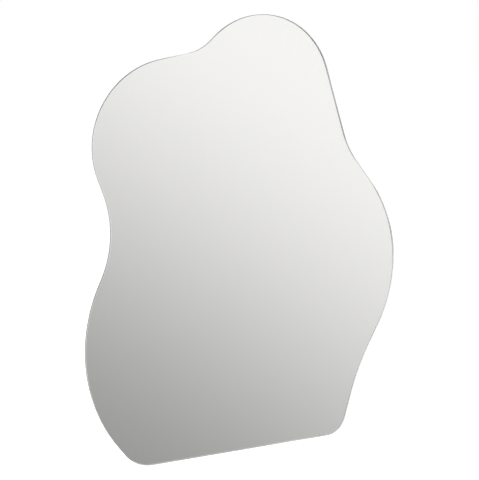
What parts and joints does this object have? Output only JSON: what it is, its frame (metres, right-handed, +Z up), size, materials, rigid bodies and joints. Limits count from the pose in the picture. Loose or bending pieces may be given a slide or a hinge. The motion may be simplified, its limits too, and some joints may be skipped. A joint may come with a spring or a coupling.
{
  "type": "irregular wall mirror",
  "caption": "Frameless wall mirror with a freely curved outline and a flat foot, on a smaller backing board with D-ring strap hangers and rubber wall bumpers.",
  "frame": {"origin": "on the wall plane that the bumpers' faces touch, midway between the two hangers at the height of their rings' pivots", "axes": "+Z up the wall, +Y into the wall, so the mirror faces -Y, +X to the right as seen from the front"},
  "size_m": [0.7, 0.024, 0.9],
  "materials": {
    "float_glass": "clear float glass with a softly polished edge and fine arrises",
    "silver": "silvered",
    "mirror_paint": "protective paint on the silver, satin",
    "safety_film": "woven safety film, slightly glossy",
    "foam_tape": "closed-cell foam",
    "adhesive": "cured mirror adhesive",
    "fibre_board": "raw medium-density fibre board",
    "zinc_steel": "bright zinc plate",
    "screw_steel": "zinc plate",
    "ring_wire": "bright zinc plate",
    "rubber": "matt black rubber"
  },
  "bodies": {
    "panel": {"mirror_glass": "float_glass", "silver_layer": "silver", "paint_coat": "mirror_paint", "safety_film": "safety_film", "tape_far_left": "foam_tape", "tape_left": "foam_tape", "tape_middle": "foam_tape", "tape_right": "foam_tape", "tape_far_right": "foam_tape", "adhesive_far_left": "adhesive", "adhesive_left": "adhesive", "adhesive_right": "adhesive", "adhesive_far_right": "adhesive", "backing_board": "fibre_board", "bumper_crown": "rubber", "bumper_shoulder": "rubber", "bumper_foot_left": "rubber", "bumper_foot_right": "rubber", "left_hanger_strap": "zinc_steel", "right_hanger_strap": "zinc_steel", "left_strap_screws": "screw_steel", "right_strap_screws": "screw_steel"},
    "left_d_ring": {"left_ring": "ring_wire"},
    "right_d_ring": {"right_ring": "ring_wire"}
  },
  "joints": [
    {"name": "left_ring_swing", "type": "hinge", "parent": "panel", "child": "left_d_ring", "pos_m": [-0.15, -0.00522, 0], "axis": [1, 0, 0], "range_deg": [0, 178]},
    {"name": "right_ring_swing", "type": "hinge", "parent": "panel", "child": "right_d_ring", "pos_m": [0.15, -0.00522, 0], "axis": [1, 0, 0], "range_deg": [0, 178]}
  ]
}
